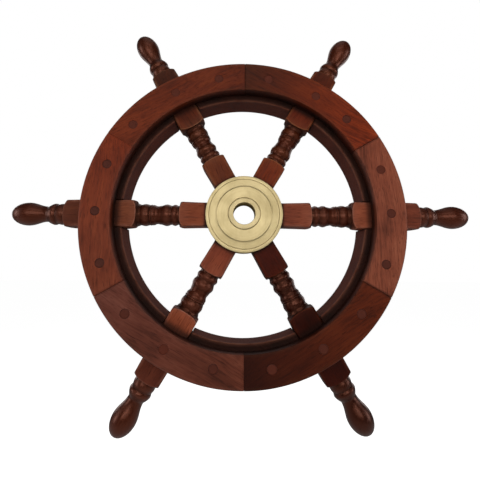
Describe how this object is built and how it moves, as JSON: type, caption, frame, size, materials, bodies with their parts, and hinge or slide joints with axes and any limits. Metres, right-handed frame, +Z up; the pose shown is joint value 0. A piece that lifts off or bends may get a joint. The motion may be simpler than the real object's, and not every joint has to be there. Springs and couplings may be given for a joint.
{
  "type": "ship steering wheel",
  "caption": "Wooden ship's steering wheel: pegged three-layer rim, turned spokes that end in handles, and a brass hub that turns on a flanged bush.",
  "frame": {"origin": "centre of the hub on the shaft's axis, at half the rim's thickness", "axes": "+Y along the shaft from the front of the wheel to the back, +Z up, +X to the right seen from the front, along the first spoke"},
  "size_m": [0.4572, 0.0508, 0.3982],
  "materials": {
    "stained_wood": "dark reddish-brown stain under satin lacquer",
    "peg_wood": "stained end grain, satin",
    "brass": "turned brass, satin",
    "spring_steel": "oiled"
  },
  "bodies": {
    "shaft_bush": {"hub_bush": "brass", "retaining_ring": "spring_steel"},
    "wheel": {"front_felloe_1": "stained_wood", "front_felloe_2": "stained_wood", "front_felloe_3": "stained_wood", "front_felloe_4": "stained_wood", "front_felloe_5": "stained_wood", "front_felloe_6": "stained_wood", "middle_felloe_1": "stained_wood", "middle_felloe_2": "stained_wood", "middle_felloe_3": "stained_wood", "middle_felloe_4": "stained_wood", "middle_felloe_5": "stained_wood", "middle_felloe_6": "stained_wood", "back_felloe_1": "stained_wood", "back_felloe_2": "stained_wood", "back_felloe_3": "stained_wood", "back_felloe_4": "stained_wood", "back_felloe_5": "stained_wood", "back_felloe_6": "stained_wood", "spoke_1": "stained_wood", "spoke_2": "stained_wood", "spoke_3": "stained_wood", "spoke_4": "stained_wood", "spoke_5": "stained_wood", "spoke_6": "stained_wood", "hub_nave": "stained_wood", "rim_peg_01": "peg_wood", "rim_peg_02": "peg_wood", "rim_peg_03": "peg_wood", "rim_peg_04": "peg_wood", "rim_peg_05": "peg_wood", "rim_peg_06": "peg_wood", "rim_peg_07": "peg_wood", "rim_peg_08": "peg_wood", "rim_peg_09": "peg_wood", "rim_peg_10": "peg_wood", "rim_peg_11": "peg_wood", "rim_peg_12": "peg_wood", "rim_peg_13": "peg_wood", "rim_peg_14": "peg_wood", "rim_peg_15": "peg_wood", "rim_peg_16": "peg_wood", "rim_peg_17": "peg_wood", "rim_peg_18": "peg_wood", "front_hub_plate": "brass", "back_hub_plate": "brass", "hub_screw_1": "brass", "hub_screw_2": "brass", "hub_screw_3": "brass", "hub_screw_4": "brass", "hub_screw_5": "brass", "hub_screw_6": "brass"}
  },
  "joints": [
    {"name": "wheel_spin", "type": "hinge", "parent": "shaft_bush", "child": "wheel", "pos_m": [0, 0, 0], "axis": [0, 1, 0], "continuous": true}
  ]
}
